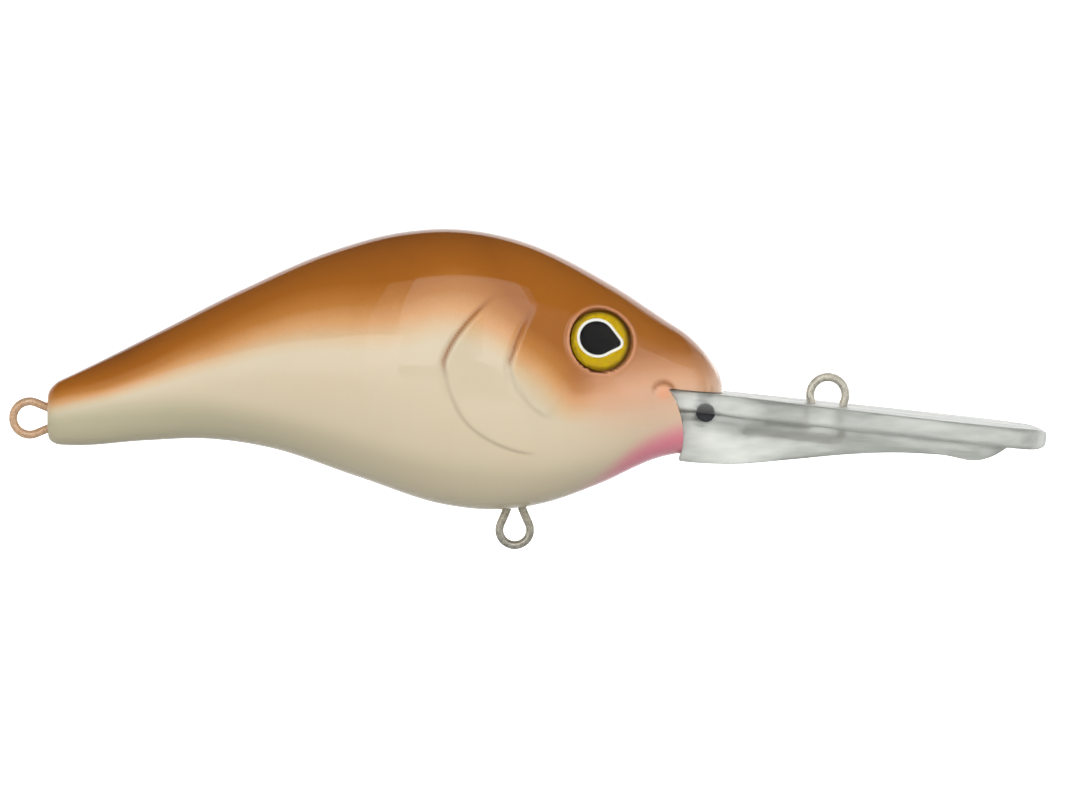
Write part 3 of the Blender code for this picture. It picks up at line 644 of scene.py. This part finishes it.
def paint(shell):
    """Where each paint, painted shade and painted highlight lies, as attributes for the material."""
    points = points_of(shell)
    x, z = points[:, 0], points[:, 2]
    set_attribute(shell, "back", back_paint(x, z))
    # Painted shade, with some olive paint, over the belly and the tail's lower half
    set_attribute(shell, "under", smoothstep((UNDER_LEVEL(x) - z) / 3.6 + 0.5) * UNDER_SHARE(x))
    along_cheek = smoothstep((x - 57.0) / 8.0) * smoothstep((80.0 - x) / 8.0)
    set_attribute(shell, "cheek", 0.7 * along_cheek * bell(z - CHEEK_LEVEL, 3.6))
    throat = smoothstep((THROAT_LEVEL(x) - z) / 3.0 + 0.5) * smoothstep((x - 55.5) / 11.0)
    set_attribute(shell, "throat", throat * 0.95)
    nostril = np.hypot(x - NOSTRIL[0], z - NOSTRIL[1])
    set_attribute(shell, "crease", crease_paint_and_shade(x, z, nostril))
    mirrored = points.copy()
    mirrored[:, 1] = np.abs(mirrored[:, 1])
    radius, _, _ = eye_axis_distance(mirrored)
    # Painted highlights: a light ring on the eye's raised rim, and the nostril's lit inside
    eye_rim_highlight = 0.55 * bell(radius - RIM_RADIUS, 0.2)
    set_attribute(shell, "rim", np.maximum(eye_rim_highlight, 0.85 * np.exp(-((nostril / 0.8) ** 4))))


# -------------------------------------------------------------------------------------- the bill

BILL_HALF_WIDTH = smooth([(-2, 6.6), (3, 6.7), (8, 7.4), (14, 8.8), (21, 10.1), (28, 10.7),
                          (BILL_LENGTH, 10.6)])
KEEL_DEPTH = smooth([(-2, 7.9), (3, 8.1), (8, 7.7), (14, 6.6), (20.5, 5.3), (26, 4.5), (31, 4.2), (35.8, 4.2),
                     (37.2, 3.5), (38.6, 2.4), (BILL_LENGTH, 2.3)])
KEEL_HALF_WIDTH = smooth([(-2, 5.8), (2, 5.4), (7, 4.2), (13, 2.9), (20, 2.4), (34, 2.4), (BILL_LENGTH, 2.2)])
BILL_START, BILL_RINGS = -2.0, 110
BILL_END_ROUND, BILL_END_POWER, BILL_THICKNESS, BILL_EDGE, KEEL_FILLET = 8.5, 2.5, 2.3, 0.6, 1.8
BILL_TIP_THIN, BILL_TIP_LENGTH, BILL_TIP_DROP = 0.4, 2.2, 0.6
JAW_GAP = 0.03
CLEAR_RADIUS, CLEAR_BLUR = 2.4, 1.4  # the clearer plastic round the slug


def along_bill(u, v):
    """The (x, z) place at u along the bill's top and v over it."""
    c, s = math.cos(BILL_DROP), math.sin(BILL_DROP)
    return (BILL_ROOT[0] + u * c + v * s, BILL_ROOT[1] - u * s + v * c)


def jaw_face(shift=0.0, top=JAW_TOP, count=33):
    """The jaw's round front as (x, z) points, from the top down."""
    centre = JAW_FRONT - JAW_RADIUS + shift
    levels = (top + (JAW_BOTTOM - top) * i / (count - 1) for i in range(count))
    return [(centre + math.sqrt(JAW_RADIUS**2 - (z - JAW_LEVEL) ** 2), z) for z in levels]


def bill_ring(u):
    """The bill's section at u, in its own frame, with rounded edges and a filleted keel."""
    outward = max(0.0, (u - (BILL_LENGTH - BILL_END_ROUND)) / BILL_END_ROUND)
    wide = float(BILL_HALF_WIDTH(u)) * max(1 - outward**BILL_END_POWER, 0.0) ** (1 / BILL_END_POWER)
    from_tip = min((BILL_LENGTH - u) / BILL_TIP_LENGTH, 1.0)
    fullness = math.sqrt(1 - (1 - from_tip) ** 2)
    blade = BILL_THICKNESS * (BILL_TIP_THIN + (1 - BILL_TIP_THIN) * fullness)
    top = -BILL_TIP_DROP * (1 - fullness)
    keel = max(float(KEEL_DEPTH(u)) - BILL_THICKNESS, 0.0)
    edge = BILL_EDGE * blade / BILL_THICKNESS
    inside = wide - edge
    foot = min(float(KEEL_HALF_WIDTH(u)), 0.55 * inside)
    fillet = min(KEEL_FILLET, 0.35 * inside)
    side = [(inside * t, 0.0) for t in np.linspace(0.1, 1, 10)]
    for t in np.linspace(0.2, 1, 5) * math.pi / 2:
        side.append((inside + edge * math.sin(t), -edge * (1 - math.cos(t))))
    for t in np.linspace(0, 1, 5) * math.pi / 2:
        side.append((inside + edge * math.cos(t), edge - blade - edge * math.sin(t)))
    under_blade = np.linspace(inside, foot + fillet, 6)[1:]
    keel_side = np.linspace(foot + fillet, foot, 12)[1:]
    under_keel = np.linspace(foot, 0, 6)[1:-1]
    for y in (*under_blade, *keel_side, *under_keel):
        side.append((y, -blade - keel * float(smoothstep((foot + fillet - y) / fillet))))
    ring = [(u, 0, top)] + [(u, -y, z + top) for y, z in side]
    return ring + [(u, 0, top - blade - keel)] + [(u, y, z + top) for y, z in reversed(side)]


def make_bill(material):
    local = np.array([bill_ring(u) for u in eased(BILL_RINGS, BILL_START, BILL_LENGTH - 0.01)])
    c, s = math.cos(BILL_DROP), math.sin(BILL_DROP)
    rings = np.empty_like(local)
    rings[..., 0] = BILL_ROOT[0] + local[..., 0] * c + local[..., 2] * s
    rings[..., 1] = local[..., 1]
    rings[..., 2] = BILL_ROOT[1] - local[..., 0] * s + local[..., 2] * c
    points, faces = loft(rings)
    bill = make_mesh("bill_clear", world(points), faces, 50)
    face = jaw_face(JAW_GAP)
    back_end = face[0][0] - CUTTER_REACH
    points, faces = prism([*face, (back_end, JAW_BOTTOM), (back_end, JAW_TOP)], -CUTTER_REACH, CUTTER_REACH)
    cut_away(bill, make_mesh("behind_jaw", world(points), faces))
    near = points_of(bill)
    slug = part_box("bill_weight")
    middle = (np.array((slug[0] + slug[1]) / 2) - np.array(ORIGIN)) / MM
    gap = np.hypot(near[:, 0] - middle[0], near[:, 2] - middle[2])
    set_attribute(bill, "clear", smoothstep((CLEAR_RADIUS - gap) / CLEAR_BLUR))
    finish_piece(bill, material, "diving_bill")


# ------------------------------------------------------------------------------------- the wires

WIRE_RADIUS, WIRE_SIDES = 0.475, 24
WIRE_ENDS = [(0.02, 0.70), (0.16, 0.93)]  # distance from a wire's end, and share of its radius there
LINE_TIE, LINE_TIE_RADIUS, LINE_TIE_LEAN, LINE_TIE_WAIST = (88.4, 2.65), 2.0, math.radians(-3), 1.8
LINE_TIE_DEPTHS, LINE_TIE_FEET, FOOT_BEND = (2.1, 3.7), (7.5, 9.5), 1.0
HANGER_NECK, ANCHOR_RADIUS, ANCHOR_OPEN = 0.68, 1.65, math.radians(18)
BELLY_EYE_LEVEL, BELLY_EYE_RADIUS, BELLY_ANCHOR = -12.7, 1.74, 6.6
TAIL_EYE_AT, TAIL_EYE_RADIUS, TAIL_ANCHOR = (-2.1, 0.0), 1.89, 7.7


def arc(centre, radius, start, end, steps):
    turns = np.linspace(start, end, steps + 1)
    return [(centre[0] + radius * math.cos(t), centre[1] + radius * math.sin(t)) for t in turns]


def turned_path(path, angle, at):
    """The path turned about its origin, and moved to a place."""
    c, s = math.cos(angle), math.sin(angle)
    return [(at[0] + x * c - z * s, at[1] + x * s + z * c) for x, z in path]


def touching(reach, offset, radius):
    """The angle at which a straight neck from (reach, offset) runs into a ring."""
    return math.pi - math.atan2(offset, reach) - math.acos(radius / math.hypot(reach, offset))


def eased_corner(a, corner, b, steps=6):
    """Points of a rounded corner from a to b."""
    t = np.linspace(0, 1, steps)[:, None]
    a, corner, b = (np.array(p, float) for p in (a, corner, b))
    return [tuple(p) for p in (1 - t) ** 2 * a + 2 * t * (1 - t) * corner + t**2 * b]


def hanger_path(radius, anchor):
    """A hanger's wire: an eye at the origin, two narrow necks, and an open ring at the anchor's distance."""
    necks = (0.42 * anchor, 0.58 * anchor)
    inner = math.pi - touching(anchor - necks[1], HANGER_NECK, ANCHOR_RADIUS)
    outer = touching(necks[0], HANGER_NECK, radius)
    half = arc((-anchor, 0), ANCHOR_RADIUS, math.pi - ANCHOR_OPEN, inner + 0.12, 24)
    last = (-anchor + ANCHOR_RADIUS * math.cos(inner), ANCHOR_RADIUS * math.sin(inner))
    eye_start = (radius * math.cos(outer), radius * math.sin(outer))

    def towards(a, b, share):
        return (a[0] + (b[0] - a[0]) * share, a[1] + (b[1] - a[1]) * share)

    neck_in, neck_out = (-necks[1], HANGER_NECK), (-necks[0], HANGER_NECK)
    half += eased_corner(towards(last, neck_in, 0.3), neck_in, towards(neck_in, neck_out, 0.45))
    half += eased_corner(towards(neck_out, neck_in, 0.3), neck_out, towards(neck_out, eye_start, 0.5))
    return half + arc((0, 0), radius, outer, -outer, 48) + [(x, -z) for x, z in reversed(half)]


def line_tie_path():
    """The line tie's wire: an arch over the bill on two feet, bent backwards inside it."""
    entry = (LINE_TIE[0] - BILL_ROOT[0]) / math.cos(BILL_DROP)
    feet = []
    for side, depth, run in zip((-1, 1), LINE_TIE_DEPTHS, LINE_TIE_FEET):
        u = entry + side * LINE_TIE_WAIST
        end = along_bill(entry - run, -depth)
        corner = along_bill(u, -depth)
        bend = eased_corner(along_bill(u - FOOT_BEND, -depth), corner, along_bill(u, FOOT_BEND - depth))
        feet.append([end, *bend])
    loop = arc((0, 0), LINE_TIE_RADIUS, math.radians(205), math.radians(-25), 44)
    return feet[0] + turned_path(loop, LINE_TIE_LEAN, LINE_TIE) + feet[1][::-1]


def make_wire(name, node, path, material, spray):
    """A round wire with softly rounded ends along a path in the middle plane."""
    along = np.array([(x, 0, z) for x, z in path])
    steps = np.linalg.norm(np.diff(along, axis=0), axis=1)
    along = along[np.concatenate([[True], steps > 1e-4])]
    tangents = np.gradient(along, axis=0)
    tangents /= np.linalg.norm(tangents, axis=1, keepdims=True)
    sideways = np.array([0, 1.0, 0])
    across = np.cross(tangents, sideways)
    rows = [(along[0] + tangents[0] * reach, across[0], share) for reach, share in WIRE_ENDS]
    rows += [(place, turned, 1.0) for place, turned in zip(along[1:-1], across[1:-1])]
    rows += [(along[-1] - tangents[-1] * reach, across[-1], share) for reach, share in reversed(WIRE_ENDS)]
    turns = 2 * math.pi * np.arange(WIRE_SIDES) / WIRE_SIDES
    rings = np.array([[place + WIRE_RADIUS * share * (math.cos(t) * turned - math.sin(t) * sideways)
                       for t in turns] for place, turned, share in rows])
    points, faces = loft(rings)
    wire = make_mesh(name, world(points), faces, 60)
    set_attribute(wire, "spray", spray(points_of(wire)))
    finish_piece(wire, material, node)


def belly_spray(points):
    """Overspray, thicker near the belly."""
    return 0.25 + 0.5 * smoothstep((points[:, 2] + 13.6) / 3.0)


def tail_spray(points):
    return np.full(len(points), 0.75)


def tie_spray(points):
    """Haze on the top of the arch, and on the feet inside the bill."""
    top, feet = smoothstep((points[:, 2] - 4.2) / 0.9), smoothstep((1.6 - points[:, 2]) / 0.6)
    return 0.55 + 0.3 * top + 0.4 * feet


def make_wires():
    dull_steel, bright_steel = srgb(164, 161, 151), srgb(218, 215, 206)
    belly_wire = wire_material("hanger_wire", srgb(158, 150, 128), srgb(128, 125, 116), srgb(190, 187, 177))
    tail_wire = wire_material("tail_wire", srgb(190, 142, 94), dull_steel, bright_steel)
    tie_wire = wire_material("tie_wire", srgb(192, 186, 168), dull_steel, bright_steel)
    belly_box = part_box("belly_hook_hanger")
    belly_eye_x = ((belly_box[0].x + belly_box[1].x) / 2 - ORIGIN.x) / MM
    path = hanger_path(BELLY_EYE_RADIUS, BELLY_ANCHOR)
    path = turned_path(path, -math.pi / 2, (belly_eye_x, BELLY_EYE_LEVEL))
    make_wire("wire_belly", "belly_hook_hanger", path, belly_wire, belly_spray)
    path = turned_path(hanger_path(TAIL_EYE_RADIUS, TAIL_ANCHOR), math.pi, TAIL_EYE_AT)
    make_wire("wire_tail", "tail_hook_hanger", path, tail_wire, tail_spray)
    make_wire("wire_tie", "line_tie_wire", line_tie_path(), tie_wire, tie_spray)


# -------------------------------------------------------------------------------------- the eyes

PUPIL_TIP, PUPIL_CENTRE, PUPIL_RADIUS, PUPIL_FLAT = 2.45, (-0.35, 0.28), 1.98, 0.95
PUPIL_TILT = math.radians(-3)
EYE_SEGMENTS, FOIL_ROWS, FOIL_THICKNESS, FOIL_DROOP = 96, 40, 0.35, 0.03
FOIL_GAP, DOME_GAP = 0.05, 0.45  # how far they stand over the socket's floor
DOME_EDGE, DOME_CROWN, DOME_FULLNESS = 0.75, 1.15, 0.9


def tear_distance(u, v):
    """Signed distance from the edge of a teardrop pupil that points along +u."""
    turns = np.linspace(math.radians(48), math.radians(312), 40)
    path = [(PUPIL_CENTRE[0] + PUPIL_RADIUS * math.cos(t),
             PUPIL_CENTRE[1] + PUPIL_FLAT * PUPIL_RADIUS * math.sin(t)) for t in turns]
    path += [(PUPIL_TIP - 0.38, -0.50), (PUPIL_TIP - 0.12, -0.22), (PUPIL_TIP - 0.10, 0.10),
             (PUPIL_TIP - 0.34, 0.42), path[0]]
    path = curve_through(path, 3)
    distance = np.abs(along_path(u, v, path)[0])
    inside = np.zeros(u.shape, bool)
    for (ax, ay), (bx, by) in zip(path[:-1], path[1:]):
        crosses = (ay > v) != (by > v)
        inside ^= crosses & (u < ax + (bx - ax) * (v - ay) / (by - ay if by != ay else 1e-9))
    return np.where(inside, -distance, distance)


def eye_frame(side):
    """(surface point, facing, forward, up) of the eye on a side, in the design frame."""
    facing = Vector((EYE_FACING.x, side * abs(EYE_FACING.y), EYE_FACING.z))
    forward = (Vector((1, 0, 0)) - facing * facing.x).normalized()
    up = facing.cross(forward) if facing.cross(forward).z > 0 else forward.cross(facing)
    at = Vector((EYE_AT.x, side * float(surface_y(EYE_AT.x, EYE_AT.z)), EYE_AT.z))
    return at, facing, forward, up


def eye_disc(profile, base, axes):
    """A closed turned shape: its points about its own axis, the same points placed, and its faces.

    The profile is (radius, height) pairs, and the axes are forward, up and facing.
    """
    turns = 2 * math.pi * np.arange(EYE_SEGMENTS) / EYE_SEGMENTS
    rings = [[(r * math.cos(t), r * math.sin(t), height) for t in turns] for r, height in profile]
    points, faces = loft(np.array(rings))
    faces = faces[2:]  # fans to a middle point take the place of the flat ends
    bottom, top = len(points), len(points) + 1
    points = np.vstack([points, [(0, 0, profile[0][1])], [(0, 0, profile[-1][1] + 0.002)]])
    last = bottom - EYE_SEGMENTS
    for i in range(EYE_SEGMENTS):
        j = (i + 1) % EYE_SEGMENTS
        faces += [(j, i, bottom), (last + i, last + j, top)]
    placed = np.array(base) + sum(points[:, k : k + 1] * np.array(axes[k]) for k in range(3))
    if axes[0].cross(axes[1]).dot(axes[2]) < 0:
        faces = [tuple(reversed(face)) for face in faces]
    return points, placed, faces


def make_eye(side, name, foil_look, dome_look):
    """The printed foil in its socket, and the clear dome over it."""
    at, facing, forward, up = eye_frame(side)
    axes = (forward, up, facing)
    floor = at - facing * SOCKET_DEPTH
    back_face = [(EYE_RADIUS * t, 0.0) for t in np.linspace(0.2, 1, 6)]
    front_face = [(EYE_RADIUS * t, FOIL_THICKNESS - FOIL_DROOP * t**8)
                  for t in np.linspace(1, 0.03, FOIL_ROWS)]
    local, placed, faces = eye_disc(back_face + front_face, floor + facing * FOIL_GAP, axes)
    foil = make_mesh(f"eye_print_{name}", world(placed), faces, 50)
    u, v = local[:, 0], local[:, 1]
    c, s = math.cos(PUPIL_TILT), math.sin(PUPIL_TILT)
    set_attribute(foil, "tear", tear_distance(u * c + v * s, v * c - u * s))
    set_attribute(foil, "radius", np.hypot(u, v))
    finish_piece(foil, foil_look, f"eye_foil_{name}")
    base = [(EYE_RADIUS * t, 0.0) for t in np.linspace(0.2, 1, 5)] + [(EYE_RADIUS, DOME_EDGE * 0.5)]
    sweep = np.linspace(0, 1, 16)[:-1] * math.pi / 2
    cap = [(EYE_RADIUS * math.cos(t) ** DOME_FULLNESS, DOME_EDGE + (DOME_CROWN - DOME_EDGE) * math.sin(t))
           for t in sweep]
    _, placed, faces = eye_disc(base + cap, floor + facing * DOME_GAP, axes)
    dome = make_mesh(f"eye_lens_{name}", world(placed), faces, 50)
    finish_piece(dome, dome_look, f"eye_dome_{name}")


# --------------------------------------------------------------------------------- camera and light

LIT_MIDDLE = Vector(world((48.0, 0, 5.0)))


def area_light(name, azimuth, elevation, distance, size, radiance, in_reflections=True):
    """A softbox aimed at the lure's middle. Azimuth 0 is the camera's side, and goes towards the nose.

    Its brightness is given as radiance, so that what it looks like in a reflection doesn't hang on its size.
    """
    a, e = math.radians(azimuth), math.radians(elevation)
    direction = Vector((math.sin(a) * math.cos(e), -math.cos(a) * math.cos(e), math.sin(e)))
    light = bpy.data.lights.new(name, "AREA")
    light.shape = "RECTANGLE"
    light.size, light.size_y = size
    light.energy = radiance * math.pi * size[0] * size[1]
    lamp = bpy.data.objects.new(name, light)
    bpy.context.scene.collection.objects.link(lamp)
    lamp.location = LIT_MIDDLE + direction * distance
    lamp.rotation_euler = direction.to_track_quat("Z", "Y").to_euler()
    lamp.visible_camera = False
    lamp.visible_glossy = in_reflections


STAGE_DROP, STAGE_RADIUS, STAGE_BEND, STAGE_TOP, STAGE_SEGMENTS = 0.055, 2.2, 0.5, 1.8, 96  # metres


def stage_material():
    """Pale, with a glow that starts just behind the lure and fades up the wall."""
    n = Nodes("pale_sweep")
    place = n.add("ShaderNodeSeparateXYZ", {0: n.add("ShaderNodeTexCoord").outputs["Object"]}).outputs
    low_wall = n.scaled(n.between(place["Z"], 0.9, 0.3), 0.85, 0.15)
    behind = n.between(place["Y"], 0.10, 0.30)
    n.set(Base_Color=(0.72, 0.72, 0.72, 1), Roughness=0.9)
    n.set(Emission_Color=(1, 1, 1, 1), Emission_Strength=n.math("MULTIPLY", behind, low_wall))
    return n.material


def make_stage():
    """A pale round floor that curves up into a wall."""
    floor = cad_box[0][2] - STAGE_DROP
    flat = STAGE_RADIUS - STAGE_BEND
    profile = [(0.4, floor), (1.0, floor), (flat, floor)]
    for t in np.linspace(0, math.pi / 2, 12)[1:]:
        profile.append((flat + STAGE_BEND * math.sin(t), floor + STAGE_BEND * (1 - math.cos(t))))
    profile.append((STAGE_RADIUS, floor + STAGE_TOP))
    turns = 2 * math.pi * np.arange(STAGE_SEGMENTS) / STAGE_SEGMENTS
    points = [(0, 0, floor)] + [(r * math.cos(t), r * math.sin(t), z) for r, z in profile for t in turns]
    faces = [(0, 1 + i, 1 + (i + 1) % STAGE_SEGMENTS) for i in range(STAGE_SEGMENTS)]
    for row in range(len(profile) - 1):
        start = 1 + row * STAGE_SEGMENTS
        for i in range(STAGE_SEGMENTS):
            j = (i + 1) % STAGE_SEGMENTS
            faces.append((start + i, start + STAGE_SEGMENTS + i, start + STAGE_SEGMENTS + j, start + j))
    mesh = bpy.data.meshes.new("sweep")
    mesh.from_pydata(points, [], faces)
    mesh.shade_smooth()
    mesh.materials.append(stage_material())
    sweep = bpy.data.objects.new("sweep", mesh)
    bpy.context.scene.collection.objects.link(sweep)


def make_light():
    """Cards that the gloss coat shows, and fills that it doesn't, in a nearly dark room."""
    area_light("tall_softbox", -3, 28, 1.6, (0.50, 1.6), 1.0)
    area_light("wide_softbox", -6, 27, 1.6, (0.78, 1.55), 0.6)
    area_light("nose_card", 45, 8, 1.6, (1.10, 1.04), 0.65)
    area_light("nose_card_wide", 50, 8, 1.6, (1.50, 1.04), 0.4)
    for i, height in enumerate((0.8, 0.5, 0.28)):
        area_light(f"tail_card_{i}", -38, 3, 1.6, (1.6, height), 1.3)
    area_light("front_fill", -5, 12, 1.4, (2.2, 1.2), 1.45, in_reflections=False)
    area_light("top_fill", 35, 60, 1.4, (0.9, 0.7), 2.0, in_reflections=False)
    area_light("rim_card", 180, 22, 1.6, (2.2, 0.9), 0.8)
    area_light("back_fill", 180, 40, 1.4, (1.0, 0.6), 1.0, in_reflections=False)
    studio = bpy.data.worlds.new("studio")
    bpy.context.scene.world = studio
    studio.use_nodes = True
    studio.node_tree.nodes["Background"].inputs["Color"].default_value = (0.05, 0.05, 0.05, 1)


CAMERA_TARGET, CAMERA_DISTANCE, CAMERA_ELEVATION = Vector(world((55.2, 0, 2.55))), 0.9, math.radians(2.4)
SENSOR_WIDTH, VIEW_WIDTH = 36.0, 0.12134  # millimetres, and the metres seen across at the lure


def make_camera():
    camera = bpy.data.cameras.new("camera")
    holder = bpy.data.objects.new("camera", camera)
    bpy.context.scene.collection.objects.link(holder)
    bpy.context.scene.camera = holder
    direction = Vector((0, -math.cos(CAMERA_ELEVATION), math.sin(CAMERA_ELEVATION)))
    holder.location = CAMERA_TARGET + direction * CAMERA_DISTANCE
    holder.rotation_euler = (math.pi / 2 - CAMERA_ELEVATION, 0, 0)
    camera.sensor_width = SENSOR_WIDTH
    camera.lens = SENSOR_WIDTH * CAMERA_DISTANCE / VIEW_WIDTH
    camera.clip_start = 0.05
    bpy.context.scene.view_settings.view_transform = "Standard"


# -------------------------------------------------------------------------------------- the build

def finish_metal():
    """Gives the weights and balls, which keep their CAD shapes, their metals."""
    slug = weight_material("dark_metal", srgb(26, 27, 30), srgb(52, 53, 57), 0.6)
    lead = weight_material("ballast_metal", srgb(60, 61, 66), srgb(104, 105, 110), 0.9)
    steel = weight_material("ball_metal", srgb(150, 152, 158), srgb(196, 198, 204), 1.0)
    metals = {"bill_weight": slug, "ballast_rear": lead, "ballast_front": lead, "casting_ball": steel,
              "rattle_ball_rear": steel, "rattle_ball_middle": steel, "rattle_ball_front": steel}
    for node, metal in metals.items():
        mesh = frame["nodes"][node].data
        mesh.materials.clear()
        mesh.materials.append(metal)


def main():
    paint_coat = paint_material()
    make_shell(-1, "shell_right", "body_shell_right", paint_coat)
    make_shell(1, "shell_left", "body_shell_left", paint_coat)
    make_bill(bill_material())
    make_wires()
    foil_look, dome_look = foil_material(), dome_material()
    make_eye(-1, "right", foil_look, dome_look)
    make_eye(1, "left", foil_look, dome_look)
    finish_metal()
    make_stage()
    make_light()
    make_camera()


main()
